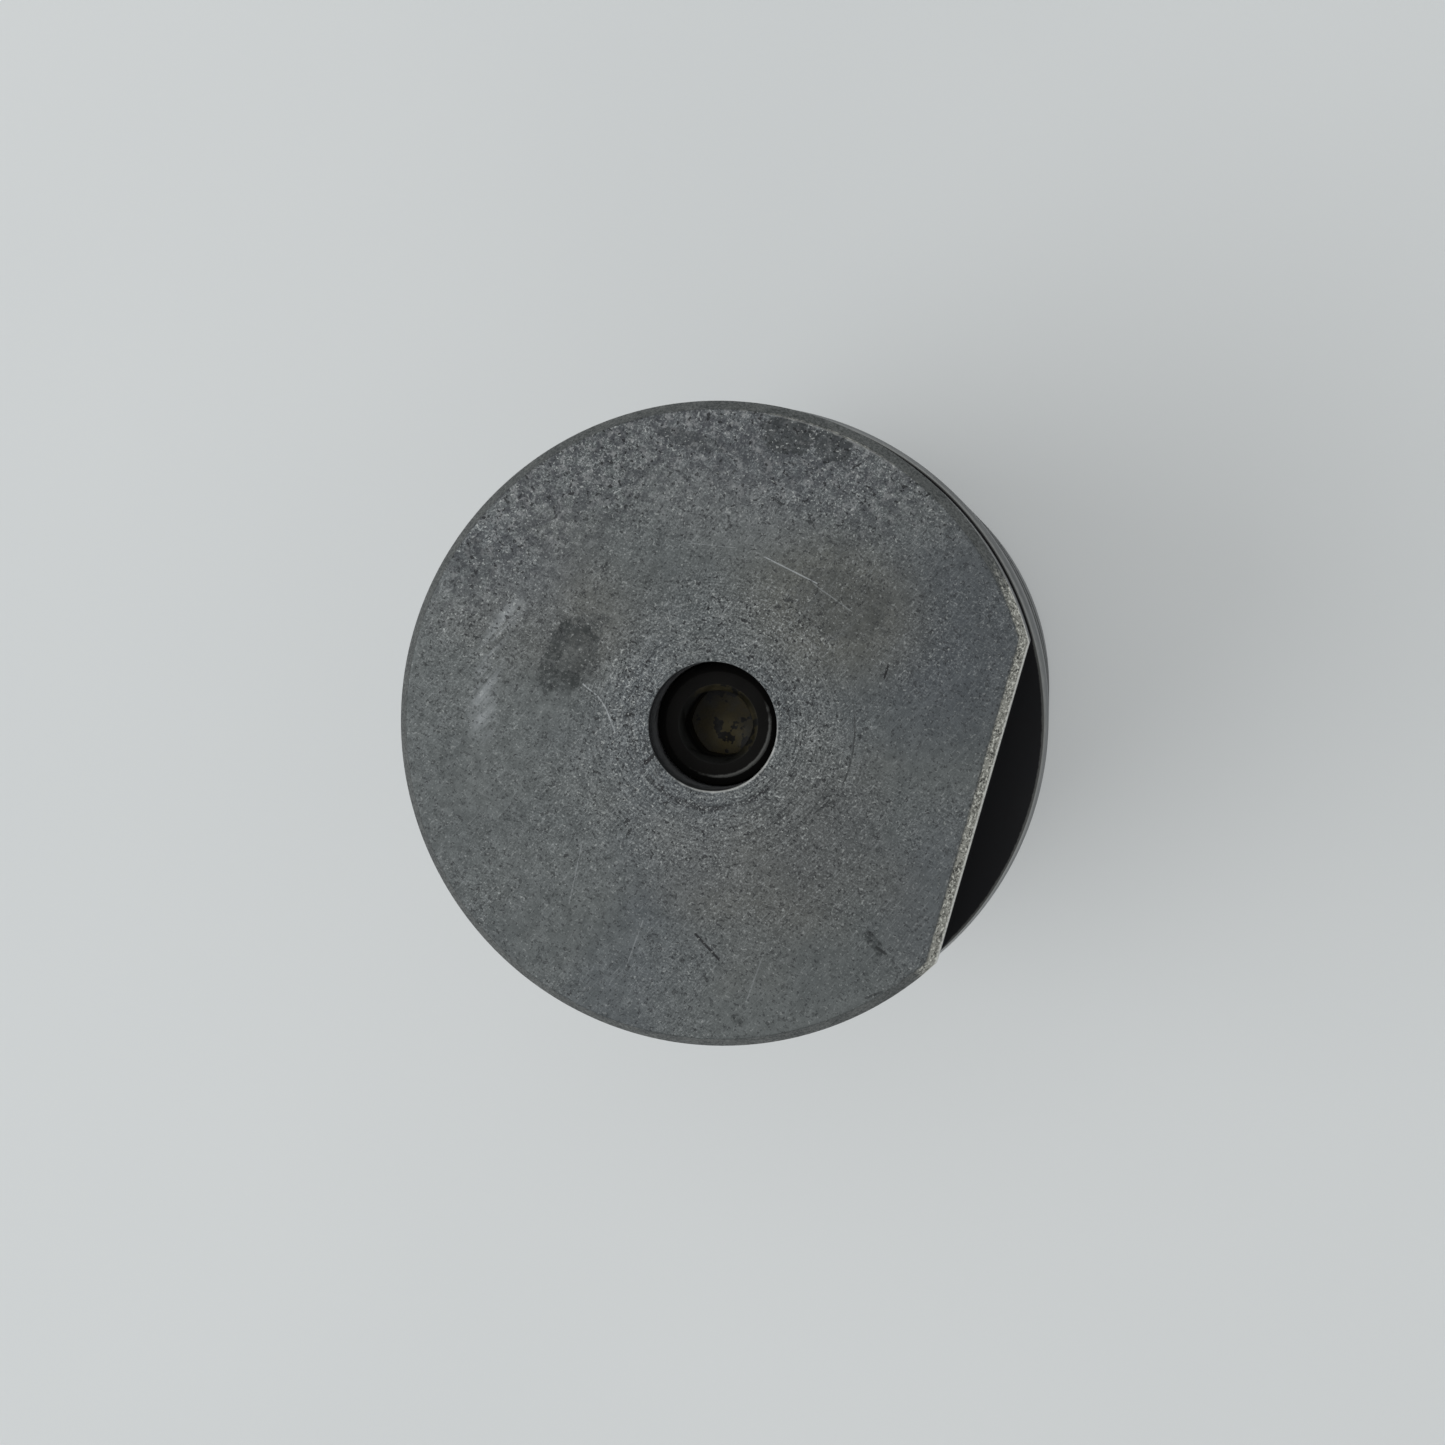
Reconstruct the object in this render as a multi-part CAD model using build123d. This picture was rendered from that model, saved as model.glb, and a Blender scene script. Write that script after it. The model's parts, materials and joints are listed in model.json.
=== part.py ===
from build123d import *
import math
import os

# Beam coupling. Lengths are in mm. +Z runs up the axis, the origin is the centre of the lower
# end face, and +X is the outward normal of the drive flat on the nose.

# Outside of the bar
BODY_R = 12.7
LENGTH = 38.1
END_CHAMFER = 0.4

# Heights of the two flexing zones and of the ring between them
LOWER_HUB_TOP = 11.5
RING_BOTTOM = 16.7
RING_TOP = 20.1
UPPER_HUB_BOTTOM = 25.3
RELIEF_R = 6.5

# Nose of the upper hub: turned spigot, edge break and drive flat
NOSE_R = 12.4
RIM_BREAK_R = 0.36
RIM_BREAK_Z = 0.5
LEDGE_Z = 33.2
LEDGE_R = 12.52
BEVEL_BOTTOM_Z = 31.9
FLAT_X = 10.66
FLAT_BREAK = 0.43

# Helical beams
BEAM_COUNT = 3
BEAM_LEAD = 6.9
BEAM_THICKNESS = 1.5

# Shaft bore of the lower hub
SHAFT_R = 4.0
BORE_CHAMFER = 0.4

# Axial set screw, M5, and its hole
AXIAL_HOLE_R = 2.47
AXIAL_SCREW_R = 2.44
AXIAL_SCREW_LEN = 5.0
AXIAL_SCREW_DROP = 1.5
AXIAL_SCREW_BREAK = 0.39
AXIAL_HEX = 2.5
AXIAL_SOCKET = 2.2
AXIAL_HEX_TURN = 15.0

# Radial set screws, M4, and their holes in the lower hub
RADIAL_HOLE_R = 2.05
RADIAL_SCREW_R = 2.0
RADIAL_SCREW_LEN = 8.0
RADIAL_SCREW_BREAK = 0.4
RADIAL_HEX = 2.0
RADIAL_SOCKET = 2.0
RADIAL_Z = 5.0
RADIAL_TIP_GAP = 0.12
RADIAL_TURNS = (0.0, 90.0)

# Spare length on every cutting tool
OVER = 1.0


def turned(points):
    """Solid of revolution about Z from (radius, height) corners."""
    outline = Polyline([(r, 0, z) for r, z in points], close=True)
    return revolve(make_face(outline), Axis.Z)


def rod(radius, bottom, top):
    """Upright round bar between two heights."""
    return Pos(0, 0, bottom) * Cylinder(radius, top - bottom, align=(Align.CENTER, Align.CENTER, Align.MIN))


def set_screw(radius, length, edge_break, hex_flats, socket_depth):
    """Socket set screw standing on its tip at z = 0, socket upwards."""
    edge = radius - edge_break
    corners = [(0, 0), (edge, 0), (radius, edge_break), (radius, length - edge_break)]
    corners += [(edge, length), (0, length)]
    corner_r = hex_flats / 2 / math.cos(math.pi / 6)
    hexagon = RegularPolygon(corner_r, 6)
    socket = Pos(0, 0, length - socket_depth) * extrude(hexagon, socket_depth + OVER)
    return turned(corners) - socket


def upper_hub():
    """Hub with the turned nose, its drive flat and the axial screw's hole."""
    rim_r = NOSE_R - RIM_BREAK_R
    rim_z = LENGTH - RIM_BREAK_Z
    corners = [(0, UPPER_HUB_BOTTOM), (BODY_R, UPPER_HUB_BOTTOM), (BODY_R, BEVEL_BOTTOM_Z)]
    corners += [(LEDGE_R, LEDGE_Z), (NOSE_R, LEDGE_Z), (NOSE_R, rim_z), (rim_r, LENGTH), (0, LENGTH)]
    hub = turned(corners)
    flat_points = [(FLAT_X, LEDGE_Z), (BODY_R + OVER, LEDGE_Z), (BODY_R + OVER, LENGTH + OVER)]
    flat_points += [(FLAT_X - FLAT_BREAK - OVER, LENGTH + OVER), (FLAT_X, LENGTH - FLAT_BREAK)]
    outline = Polyline([(x, BODY_R, z) for x, z in flat_points], close=True)
    flat_tool = extrude(make_face(outline), BODY_R, dir=(0, -1, 0), both=True)
    flat_tool = Pos(0, -BODY_R, 0) * flat_tool
    return hub - flat_tool - rod(AXIAL_HOLE_R, UPPER_HUB_BOTTOM - OVER, LENGTH + OVER)


def lower_hub():
    """Hub with the shaft bore and the radial screws' holes."""
    out = BODY_R - END_CHAMFER
    mouth = SHAFT_R + BORE_CHAMFER
    corners = [(mouth, 0), (out, 0), (BODY_R, END_CHAMFER), (BODY_R, LOWER_HUB_TOP)]
    corners += [(SHAFT_R, LOWER_HUB_TOP), (SHAFT_R, BORE_CHAMFER)]
    hub = turned(corners)
    for turn in RADIAL_TURNS:
        drill = Rot(0, 90, 0) * rod(RADIAL_HOLE_R, 0, BODY_R + OVER)
        hub = hub - Pos(0, 0, RADIAL_Z) * Rot(0, 0, turn) * drill
    return hub


def centre_ring():
    """Plain ring between the two flexing zones."""
    return rod(BODY_R, RING_BOTTOM, RING_TOP) - rod(RELIEF_R, RING_BOTTOM - OVER, RING_TOP + OVER)


def beam(bottom, top, start):
    """One helical beam: a sector of the tube's wall, turned as it rises."""
    width = 360 * BEAM_THICKNESS / BEAM_LEAD
    twist = 360 * (top - bottom) / BEAM_LEAD
    inner_arc = CenterArc((0, 0), RELIEF_R, start, width)
    outer_arc = CenterArc((0, 0), BODY_R, start, width)
    side_a = Line(inner_arc @ 0, outer_arc @ 0)
    side_b = Line(inner_arc @ 1, outer_arc @ 1)
    sector = make_face([inner_arc, side_a, outer_arc, side_b])
    turned_up = Solid.extrude_linear_with_rotation(sector.face(), (0, 0, 0), (0, 0, top - bottom), twist)
    return Pos(0, 0, bottom) * turned_up


def parts():
    """Every node by name."""
    made = {"upper_hub": upper_hub(), "lower_hub": lower_hub(), "centre_ring": centre_ring()}
    screw = set_screw(AXIAL_SCREW_R, AXIAL_SCREW_LEN, AXIAL_SCREW_BREAK, AXIAL_HEX, AXIAL_SOCKET)
    tip_z = LENGTH - AXIAL_SCREW_DROP - AXIAL_SCREW_LEN
    made["axial_set_screw"] = Pos(0, 0, tip_z) * Rot(0, 0, AXIAL_HEX_TURN) * screw
    for number, turn in enumerate(RADIAL_TURNS, 1):
        screw = set_screw(RADIAL_SCREW_R, RADIAL_SCREW_LEN, RADIAL_SCREW_BREAK, RADIAL_HEX, RADIAL_SOCKET)
        laid = Pos(SHAFT_R + RADIAL_TIP_GAP, 0, 0) * Rot(0, 90, 0) * screw
        made[f"lower_set_screw_{number}"] = Pos(0, 0, RADIAL_Z) * Rot(0, 0, turn) * laid
    pitch = 360 / BEAM_COUNT
    for index in range(BEAM_COUNT):
        made[f"lower_beam_{index + 1}"] = beam(LOWER_HUB_TOP, RING_BOTTOM, index * pitch)
        made[f"upper_beam_{index + 1}"] = beam(RING_TOP, UPPER_HUB_BOTTOM, index * pitch)
    return made


os.makedirs("parts", exist_ok=True)
for node, shape in parts().items():
    shape.label = node
    export_step(shape, f"parts/{node}.step")
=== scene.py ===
import json
import math

import bpy
from mathutils import Matrix, Vector


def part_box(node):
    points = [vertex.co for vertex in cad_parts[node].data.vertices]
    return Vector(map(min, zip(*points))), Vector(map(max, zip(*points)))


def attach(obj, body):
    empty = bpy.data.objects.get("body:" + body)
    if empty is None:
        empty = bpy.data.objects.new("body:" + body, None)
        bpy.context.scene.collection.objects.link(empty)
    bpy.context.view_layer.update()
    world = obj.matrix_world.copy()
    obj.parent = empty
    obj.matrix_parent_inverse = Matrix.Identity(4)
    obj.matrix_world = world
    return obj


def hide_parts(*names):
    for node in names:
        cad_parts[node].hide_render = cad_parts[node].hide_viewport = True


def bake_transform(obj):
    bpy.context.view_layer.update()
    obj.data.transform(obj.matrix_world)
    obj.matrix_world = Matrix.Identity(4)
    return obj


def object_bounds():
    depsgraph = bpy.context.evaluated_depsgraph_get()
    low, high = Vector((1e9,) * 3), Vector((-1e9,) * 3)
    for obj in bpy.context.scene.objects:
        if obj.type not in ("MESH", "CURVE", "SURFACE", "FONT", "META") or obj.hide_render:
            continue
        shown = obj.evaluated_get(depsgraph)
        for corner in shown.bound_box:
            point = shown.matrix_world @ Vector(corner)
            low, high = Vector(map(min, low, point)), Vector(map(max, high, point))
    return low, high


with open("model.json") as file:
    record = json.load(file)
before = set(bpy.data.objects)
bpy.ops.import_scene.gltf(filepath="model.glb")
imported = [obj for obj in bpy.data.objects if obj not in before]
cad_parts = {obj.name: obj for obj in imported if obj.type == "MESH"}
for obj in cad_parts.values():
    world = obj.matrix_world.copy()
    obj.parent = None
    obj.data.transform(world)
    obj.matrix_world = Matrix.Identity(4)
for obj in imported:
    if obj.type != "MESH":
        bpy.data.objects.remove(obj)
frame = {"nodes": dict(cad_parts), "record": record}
cad_low, cad_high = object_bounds()

MM = 0.001
TURN = 2 * math.pi

# Sizes that the frame already holds, in metres
MOUNTS = {mount["name"]: mount for mount in frame["record"]["mounts"]}
BODY_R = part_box("centre_ring")[1].x
LENGTH = cad_high.z
NOSE_R = MOUNTS["nose_spigot"]["dims"]["r_mm"] * MM
FLAT_X = MOUNTS["drive_flat"]["pos_m"][0]
HUB_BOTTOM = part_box("upper_hub")[0].z
LOWER_HUB_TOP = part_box("lower_hub")[1].z
RING_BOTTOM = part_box("centre_ring")[0].z
RING_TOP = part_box("centre_ring")[1].z

# Details of the nose and hole
LEDGE_Z = LENGTH - 4.9 * MM
LEDGE_R = 12.52 * MM
BEVEL_BOTTOM_Z = LENGTH - 6.2 * MM
RIM_BREAK_R = 0.36 * MM
RIM_BREAK_Z = 0.5 * MM
FLAT_BREAK = 0.43 * MM
AXIAL_HOLE_R = 2.47 * MM

# Helical beams
BEAM_COUNT = 3
BEAM_LEAD = 6.9 * MM
BEAM_THICKNESS = 1.5 * MM
BEAM_CORNER = 0.09 * MM
RELIEF_R = 6.5 * MM
SECTION_STEPS = 26
HALF_BEAM_STEPS = 44

# Set screws: radius, thread pitch, thread depth, hexagon across flats, socket depth, edge break
M5 = {"radius": 2.44 * MM, "pitch": 0.8 * MM, "depth": 0.3 * MM}
M5.update({"hex": 2.58 * MM, "socket": 2.2 * MM, "edge": 0.39 * MM})
M4 = {"radius": 2.0 * MM, "pitch": 0.7 * MM, "depth": 0.26 * MM}
M4.update({"hex": 2.0 * MM, "socket": 2.0 * MM, "edge": 0.4 * MM})

AXIAL_HEX_TURN = 15
SCREW_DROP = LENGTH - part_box("axial_set_screw")[1].z
SOCKET_FLOOR = LENGTH - SCREW_DROP - M5["socket"]
THREAD_STEPS = 8

# Lead-in cone of a screw socket: its depth, and its width round the hexagon
SOCKET_LEAD = 0.28 * MM

# Slope between faces from which their shared edge is shaded sharp
SHARP_ANGLE = math.radians(50)

# Rounding of sharp corners, and how far the worn skin reaches from them
EDGE_ROUND = 0.035 * MM
BROKEN_EDGE_WIDTH = 0.06 * MM
WEAR_REACH = 0.16 * MM
ROUND_STEPS = 3

# Columns round a closed row
CHORD_STEPS = 48
CORNER_STEPS = 5
ARC_STEPS = 240
ROUND_COLUMNS = 96


# ---------------------------------------------------------------- mesh helpers

def make_object(name, vertices, faces, face_slots, wear, materials):
    """Mesh with a material slot for each face and the wear of each vertex."""
    mesh = bpy.data.meshes.new(name)
    mesh.from_pydata(vertices, [], faces)
    mesh.polygons.foreach_set("material_index", face_slots)
    mesh.attributes.new("wear", "FLOAT", "POINT").data.foreach_set("value", wear)
    for material in materials:
        mesh.materials.append(material)
    mesh.shade_smooth()
    mesh.set_sharp_from_angle(angle=SHARP_ANGLE)
    obj = bpy.data.objects.new(name, mesh)
    bpy.context.scene.collection.objects.link(obj)
    weighted = obj.modifiers.new("weighted_normals", "WEIGHTED_NORMAL")
    weighted.keep_sharp = True
    return obj


def bezier(a, b, c, t):
    """Point at share t of the curve from a to c that b pulls on."""
    return a.lerp(b, t).lerp(b.lerp(c, t), t)


def towards(a, b, distance):
    """Point at a distance from a towards b, never as far as the middle between them."""
    step = b - a
    return a + step * min(distance / step.length, 0.45)


def wear_at(wear, points):
    """Wear of each point of a row: one number for all, or a rule."""
    return [wear(p) if callable(wear) else wear for p in points]


def rounded_rows(corners, closed):
    """Rows with each corner rounded.

    A corner is its points, its rounding and its wear, then the slot and the wear of the band after it.
    """
    rows = []
    count = len(corners)
    for index, (points, rounding, wear, slot, band_wear) in enumerate(corners):
        if rounding == 0 or (not closed and index in (0, count - 1)):
            rows.append((points, wear_at(wear, points), slot))
            continue
        points_before, _, _, slot_before, wear_before = corners[index - 1]
        points_after = corners[(index + 1) % count][0]
        columns = list(zip(points_before, points, points_after))
        approach = [towards(p, a, WEAR_REACH) for a, p, b in columns]
        rows.append((approach, wear_at(wear_before, approach), slot_before))
        for step in range(ROUND_STEPS + 1):
            t = step / ROUND_STEPS
            here = [bezier(towards(p, a, rounding), p, towards(p, b, rounding), t) for a, p, b in columns]
            rows.append((here, wear_at(wear, here), slot_before if t < 0.5 else slot))
        leaving = [towards(p, b, WEAR_REACH) for a, p, b in columns]
        rows.append((leaving, wear_at(band_wear, leaving), slot))
    return rows


def skin(name, rows, closed, materials, capped=False):
    """Quads between rows of points. closed joins the last row to the first, capped fills both ends."""
    width = len(rows[0][0])
    vertices = [point for points, wear, slot in rows for point in points]
    worn = [value for points, wear, slot in rows for value in wear]
    faces, slots = [], []
    for index in range(len(rows) if closed else len(rows) - 1):
        first = index * width
        second = (index + 1) % len(rows) * width
        for column in range(width):
            following = (column + 1) % width
            faces.append((first + column, first + following, second + following, second + column))
            slots.append(rows[index][2])
    if capped:
        faces.append(tuple(reversed(range(width))))
        slots.append(rows[0][2])
        faces.append(tuple(range((len(rows) - 1) * width, len(rows) * width)))
        slots.append(rows[-1][2])
    return make_object(name, vertices, faces, slots, worn, materials)


def d_outline(radius, flat_x, corner, arc_z, flat_z):
    """Round outline with one flat at x = flat_x, its two corners rounded."""
    centre_x = flat_x - corner
    centre_y = math.sqrt((radius - corner) ** 2 - centre_x ** 2)
    angle = math.atan2(centre_y, centre_x)
    half = []
    for step in range(CHORD_STEPS // 2 + 1):
        half.append((flat_x, centre_y * step / (CHORD_STEPS // 2), flat_z))
    for step in range(1, CORNER_STEPS + 1):
        turn = angle * step / CORNER_STEPS
        height = flat_z + (arc_z - flat_z) * step / CORNER_STEPS
        half.append((centre_x + corner * math.cos(turn), centre_y + corner * math.sin(turn), height))
    for step in range(1, ARC_STEPS // 2 + 1):
        turn = angle + (math.pi - angle) * step / (ARC_STEPS // 2)
        half.append((radius * math.cos(turn), radius * math.sin(turn), arc_z))
    mirrored = [(x, -y, z) for x, y, z in half[1:-1]]
    return [Vector(point) for point in half + mirrored[::-1]]


def circle(radius, height, angles):
    return [Vector((radius * math.cos(a), radius * math.sin(a), height)) for a in angles]


def even_angles(count):
    return [TURN * step / count for step in range(count)]


def hexagon(across, height, angles, packed=0.0):
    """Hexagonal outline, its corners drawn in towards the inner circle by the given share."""
    inner = across / 2
    half_side = TURN / 12
    points = []
    for angle in angles:
        turned = angle + half_side
        within = turned % (2 * half_side) - half_side
        reach = inner + (inner / math.cos(within) - inner) * (1 - packed)
        points.append(Vector((reach * math.cos(turned), reach * math.sin(turned), height)))
    return points


# ---------------------------------------------------------------- marks on the end face

# A place on the face is given along the face's own two directions, whose first one is MARK_TURN
# degrees round from the drive flat's normal.
MARK_TURN = 15.6


def on_face(across, along):
    turn = math.radians(MARK_TURN)
    x = across * math.cos(turn) - along * math.sin(turn)
    y = across * math.sin(turn) + along * math.cos(turn)
    return (x * MM, y * MM)


# Start, end, half width and strength of each scratch, dark where the strength is negative
SCRATCHES = [
    (on_face(-0.65, -8.0), on_face(0.25, -8.95), 0.065 * MM, -1.0),
    (on_face(-5.02, 1.59), on_face(-4.45, 1.13), 0.035 * MM, 0.75),
    (on_face(-4.45, 1.13), on_face(-4.15, 0.7), 0.035 * MM, 0.75),
    (on_face(-4.15, 0.7), on_face(-3.95, 0.2), 0.035 * MM, 0.7),
    (on_face(-3.95, 0.2), on_face(-3.8, -0.2), 0.035 * MM, 0.45),
    (on_face(2.0, 6.45), on_face(4.0, 5.45), 0.032 * MM, 0.75),
    (on_face(3.9, 5.4), on_face(5.3, 4.4), 0.025 * MM, 0.35),
    (on_face(-2.58, -1.42), on_face(-2.1, -0.95), 0.10 * MM, -1.0),
    (on_face(-1.58, 1.84), on_face(-1.46, 1.96), 0.05 * MM, 1.0),
    (on_face(6.71, 2.38), on_face(6.56, 1.9), 0.055 * MM, -1.0),
    (on_face(3.9, -3.3), on_face(4.5, -2.75), 0.04 * MM, -0.7),
    (on_face(6.3, -8.35), on_face(6.65, -8.6), 0.07 * MM, -0.8),
    (on_face(5.9, -10.3), on_face(6.5, -10.05), 0.06 * MM, -0.6),
    (on_face(0.9, 6.8), on_face(-1.1, 7.0), 0.020 * MM, 0.3),
    (on_face(-5.6, -6.9), on_face(-5.1, -4.6), 0.030 * MM, 0.3),
    (on_face(-3.4, -9.4), on_face(-2.7, -7.5), 0.030 * MM, 0.3),
    (on_face(1.3, -10.6), on_face(1.9, -8.9), 0.030 * MM, 0.25),
]
# Start, end, half width and strength of each ragged dark smear
SMEARS = [
    (on_face(-5.3, 3.1), on_face(-5.8, 2.1), 1.70 * MM, 0.55),
    (on_face(-6.6, 1.9), on_face(-5.75, 3.75), 0.55 * MM, 0.65),
    (on_face(-5.7, 3.8), on_face(-4.35, 4.0), 0.60 * MM, 0.50),
    (on_face(-4.75, 3.7), on_face(-4.5, 3.5), 0.50 * MM, 0.50),
    (on_face(-6.2, 1.5), on_face(-6.4, 1.35), 0.40 * MM, 0.70),
    (on_face(-6.1, 2.0), on_face(-5.3, 1.9), 0.28 * MM, 0.70),
    (on_face(-5.3, 1.9), on_face(-5.35, 1.55), 0.25 * MM, 0.70),
    (on_face(6.0, -7.9), on_face(6.4, -8.45), 0.36 * MM, 0.75),
    (on_face(0.9, -11.2), on_face(1.0, -11.4), 0.30 * MM, 0.60),
]
# Radius, middle direction and strength of each fine tool ring that stands out
FINE_RINGS = [
    (5.45 * MM, MARK_TURN - 8, 0.85),
    (4.95 * MM, MARK_TURN - 34, 0.60),
    (4.35 * MM, MARK_TURN - 55, 0.60),
    (5.9 * MM, MARK_TURN - 24, 0.40),
]
# Centre, size and strength of each soft dark stain
STAINS = [
    (on_face(-5.4, 2.7), (1.5 * MM, 2.0 * MM), 0.22),
    (on_face(2.9, 11.0), (1.5 * MM, 1.0 * MM), 0.85),
    (on_face(4.6, 10.6), (1.1 * MM, 0.9 * MM), 0.75),
    (on_face(-0.9, 10.9), (1.9 * MM, 0.5 * MM), 0.5),
    (on_face(-9.2, 6.3), (1.2 * MM, 1.2 * MM), 0.35),
    (on_face(4.9, 4.7), (2.6 * MM, 2.0 * MM), 0.35),
]
# Centre, size, strength and colour of each area of a different cast
TINTS = [
    (on_face(9.5, 3.6), (5.0 * MM, 6.0 * MM), 0.60, (0.040, 0.046, 0.054)),
    (on_face(4.5, 4.5), (5.0 * MM, 3.8 * MM), 0.50, (0.080, 0.077, 0.062)),
    (on_face(9.0, -6.5), (3.5 * MM, 5.0 * MM), 0.35, (0.050, 0.057, 0.068)),
    (on_face(1.5, 10.5), (7.5 * MM, 2.5 * MM), 0.40, (0.052, 0.056, 0.066)),
    (on_face(0.5, 8.3), (4.5 * MM, 2.2 * MM), 0.40, (0.115, 0.120, 0.121)),
    (on_face(4.2, -4.2), (3.4 * MM, 3.4 * MM), 0.50, (0.050, 0.054, 0.056)),
]
# Direction on the face and strength of each set of fine scratches
STREAKS = [(MARK_TURN + 48, 0.55), (MARK_TURN - 25, 0.35)]

# Deep tool ring beside the hole: its radius, the middle of its long part and of its short part
GROOVE_R = 3.15 * MM
GROOVE_TURN = MARK_TURN - 92
GROOVE_END = MARK_TURN + 172

PATINA_TURN = MARK_TURN + 99
SCUFF_R = 9.0 * MM
SCUFF_TURN = MARK_TURN + 165

# Side of the socket's mouth that dirt has crept up, and the lighter patch on its floor
CREPT_TURN = MARK_TURN + 35
RESIDUE_LIGHT = on_face(0.05, -0.55)


# ---------------------------------------------------------------- material helpers

# Steel under the black: rubbed through, barely rubbed through and polished
BARE = (0.36, 0.352, 0.315)
BARE_DARK = (0.17, 0.17, 0.162)
POLISHED = (0.70, 0.69, 0.65)


def add(tree, kind, inputs=(), **settings):
    node = tree.nodes.new(kind)
    for name, value in settings.items():
        setattr(node, name, value)
    for key, value in dict(inputs).items():
        if isinstance(value, bpy.types.NodeSocket):
            tree.links.new(value, node.inputs[key])
        else:
            node.inputs[key].default_value = value
    return node


def calc(tree, operation, a, b=0.0):
    return add(tree, "ShaderNodeMath", {0: a, 1: b}, operation=operation).outputs[0]


def times(tree, a, b):
    return calc(tree, "MULTIPLY", a, b)


def plus(tree, a, b):
    return calc(tree, "ADD", a, b)


def vector_calc(tree, operation, a, b):
    return add(tree, "ShaderNodeVectorMath", {0: a, 1: b}, operation=operation)


def ramp(tree, value, low, high, to_low=0.0, to_high=1.0):
    inputs = {"Value": value, "From Min": low, "From Max": high, "To Min": to_low, "To Max": to_high}
    return add(tree, "ShaderNodeMapRange", inputs, interpolation_type="SMOOTHSTEP").outputs["Result"]


def noise(tree, vector, scale, detail=3.0, roughness=0.5):
    inputs = {"Vector": vector, "Scale": scale, "Detail": detail, "Roughness": roughness}
    return add(tree, "ShaderNodeTexNoise", inputs).outputs["Fac"]


def mix(tree, factor, a, b):
    node = add(tree, "ShaderNodeMix", {"Factor": factor}, data_type="RGBA")
    for socket, value in ((node.inputs[6], a), (node.inputs[7], b)):
        if isinstance(value, bpy.types.NodeSocket):
            tree.links.new(value, socket)
        else:
            socket.default_value = (*value, 1.0)
    return node.outputs[2]


def overlay(tree, colour, tint, mask, strength):
    """The colour with a tint laid over it where the mask is."""
    return mix(tree, times(tree, mask, strength), colour, tint)


def stretched(tree, vector, scale):
    return add(tree, "ShaderNodeMapping", {"Vector": vector, "Scale": scale}).outputs["Vector"]


def shifted(tree, vector, distance):
    """The same position moved aside, so that a second pattern differs from the first."""
    aside = (distance, -distance, distance)
    return add(tree, "ShaderNodeMapping", {"Vector": vector, "Location": aside}).outputs["Vector"]


def new_material(name):
    material = bpy.data.materials.new(name)
    material.use_nodes = True
    tree = material.node_tree
    shader = tree.nodes["Principled BSDF"]
    position = add(tree, "ShaderNodeTexCoord").outputs["Object"]
    return material, tree, shader, position


def finish_shader(tree, shader, colour, roughness, metallic, specular=0.5):
    tree.links.new(colour, shader.inputs["Base Color"])
    tree.links.new(roughness, shader.inputs["Roughness"])
    shader.inputs["Metallic"].default_value = metallic
    shader.inputs["Specular IOR Level"].default_value = specular


def bump(tree, shader, height, distance, strength):
    inputs = {"Height": height, "Distance": distance, "Strength": strength}
    tree.links.new(add(tree, "ShaderNodeBump", inputs).outputs["Normal"], shader.inputs["Normal"])


def height_of(tree, position):
    return add(tree, "ShaderNodeSeparateXYZ", {"Vector": position}).outputs["Z"]


def turn_of(tree, position):
    """Angle round the axis, from the drive flat's normal."""
    parts = add(tree, "ShaderNodeSeparateXYZ", {"Vector": position}).outputs
    return calc(tree, "ARCTAN2", parts["Y"], parts["X"])


def radius_of(tree, position):
    """Distance from the axis."""
    parts = add(tree, "ShaderNodeSeparateXYZ", {"Vector": position}).outputs
    flat = add(tree, "ShaderNodeCombineXYZ", {"X": parts["X"], "Y": parts["Y"]}).outputs[0]
    return add(tree, "ShaderNodeVectorMath", {0: flat}, operation="LENGTH").outputs["Value"]


def facing(tree, turn, degrees):
    """1 in the given direction from the axis, falling to -1 in the opposite one."""
    return calc(tree, "COSINE", calc(tree, "SUBTRACT", turn, math.radians(degrees)))


def gap_from(tree, radius, middle):
    """Distance of the radius from a given one."""
    return calc(tree, "ABSOLUTE", calc(tree, "SUBTRACT", radius, middle))


def arcs(tree, radius, turn, scale):
    """Broken arcs round the axis, as a lathe tool leaves them."""
    swing = 0.3 * MM
    x = times(tree, calc(tree, "COSINE", turn), swing)
    y = times(tree, calc(tree, "SINE", turn), swing)
    place = add(tree, "ShaderNodeCombineXYZ", {"X": x, "Y": y, "Z": radius}).outputs[0]
    return noise(tree, place, scale, 2, 0.7)


def streaks_along(tree, position, degrees, across, along):
    """Fine parallel scratches: a direction on the face and the noise scales across and along them."""
    rotation = (0, 0, math.radians(-degrees))
    turned = add(tree, "ShaderNodeMapping", {"Vector": position, "Rotation": rotation}).outputs["Vector"]
    return noise(tree, stretched(tree, turned, (along / across, 1.0, 1.0)), across, 3, 0.7)


def wear_attribute(tree):
    return add(tree, "ShaderNodeAttribute", attribute_name="wear").outputs["Fac"]


def wear_and_highlight_mask(tree, position):
    """Where the dark skin is rubbed through, and where the wear attribute carries a painted highlight: the
    wear attribute with a ragged edge.
    """
    uneven = times(tree, noise(tree, position, 4200, 4, 0.65), 0.8)
    return ramp(tree, plus(tree, wear_attribute(tree), uneven), 0.75, 1.2)


def speckle(tree, position, scale, threshold, width):
    """Small scattered spots: 1 inside a spot."""
    return ramp(tree, noise(tree, position, scale, 2, 0.5), threshold, threshold + width)


def spot(tree, position, centre, size):
    """Soft round patch about a point, 1 towards its middle."""
    offset = vector_calc(tree, "SUBTRACT", position, centre).outputs[0]
    scaled = vector_calc(tree, "MULTIPLY", offset, [1 / s for s in size]).outputs[0]
    distance = add(tree, "ShaderNodeVectorMath", {0: scaled}, operation="LENGTH").outputs["Value"]
    return ramp(tree, distance, 1.0, 0.35)


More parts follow.
